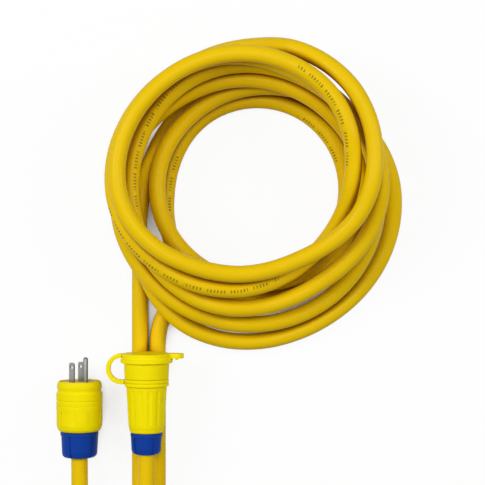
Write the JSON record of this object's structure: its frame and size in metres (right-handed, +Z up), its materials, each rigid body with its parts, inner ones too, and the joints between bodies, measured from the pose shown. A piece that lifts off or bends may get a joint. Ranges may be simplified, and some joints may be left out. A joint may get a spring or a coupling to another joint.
{
  "type": "shore power cord",
  "caption": "Coiled round power cable with a three-prong plug, cable-gland nuts and a capped three-slot connector.",
  "frame": {"origin": "middle of the floor area under the plug and the connector, with the floor at z = 0", "axes": "+Y the way the prongs and the cap point, +Z up from the floor, +X from the plug towards the connector"},
  "size_m": [0.3902, 0.6631, 0.0955],
  "materials": {
    "cable": "satin",
    "yellow_shell": "satin",
    "yellow_cap": "satin",
    "blue_nut": "satin",
    "insert": "matte",
    "nickel": "polished",
    "brass": "satin",
    "black_rubber": "matte",
    "white_plastic": "matte",
    "wire_black": "satin",
    "wire_white": "satin",
    "wire_green": "satin"
  },
  "bodies": {
    "cord_set": {"cable_coil": "cable", "cable_tail_plug": "cable", "cable_tail_connector": "cable", "plug_shell": "yellow_shell", "plug_insert": "insert", "plug_face_screws": "nickel", "plug_line_blade": "nickel", "plug_neutral_blade": "nickel", "plug_ground_pin": "nickel", "plug_terminal_screws": "brass", "plug_wire_black": "wire_black", "plug_wire_white": "wire_white", "plug_wire_green": "wire_green", "plug_grommet": "black_rubber", "connector_shell": "yellow_shell", "connector_block": "insert", "connector_line_contact": "brass", "connector_neutral_contact": "brass", "connector_ground_contact": "brass", "connector_terminal_screws": "brass", "connector_wire_black": "wire_black", "connector_wire_white": "wire_white", "connector_wire_green": "wire_green", "connector_grommet": "black_rubber", "strap_collar": "yellow_cap", "cap_strap": "yellow_cap"},
    "plug_ring": {"plug_slip_ring": "white_plastic"},
    "plug_nut": {"plug_nut": "blue_nut"},
    "connector_ring": {"connector_slip_ring": "white_plastic"},
    "connector_nut": {"connector_nut": "blue_nut"},
    "cap": {"closure_cap": "yellow_cap", "cap_seal": "black_rubber"}
  },
  "joints": [
    {"name": "plug_nut_slide", "type": "slide", "parent": "cord_set", "child": "plug_ring", "axis": [0, -1, 0], "range_m": [0, 0.0046]},
    {"name": "plug_nut_turn", "type": "hinge", "parent": "plug_ring", "child": "plug_nut", "pos_m": [-0.0396, -0.04, 0.0222], "axis": [0, -1, 0], "range_deg": [0, 810]},
    {"name": "connector_nut_slide", "type": "slide", "parent": "cord_set", "child": "connector_ring", "axis": [0, -1, 0], "range_m": [0, 0.0046]},
    {"name": "connector_nut_turn", "type": "hinge", "parent": "connector_ring", "child": "connector_nut", "pos_m": [0.0264, -0.035, 0.03989], "axis": [0, -1, 0], "range_deg": [0, 810]},
    {"name": "cap_pull", "type": "slide", "parent": "cord_set", "child": "cap", "axis": [0, 1, 0], "range_m": [0, 0.02], "deforming": ["cap_strap"]}
  ],
  "couplings": [
    {"joint": "plug_nut_slide", "follows": "plug_nut_turn", "m_per_rad": 0.00031831},
    {"joint": "connector_nut_slide", "follows": "connector_nut_turn", "m_per_rad": 0.00031831}
  ]
}
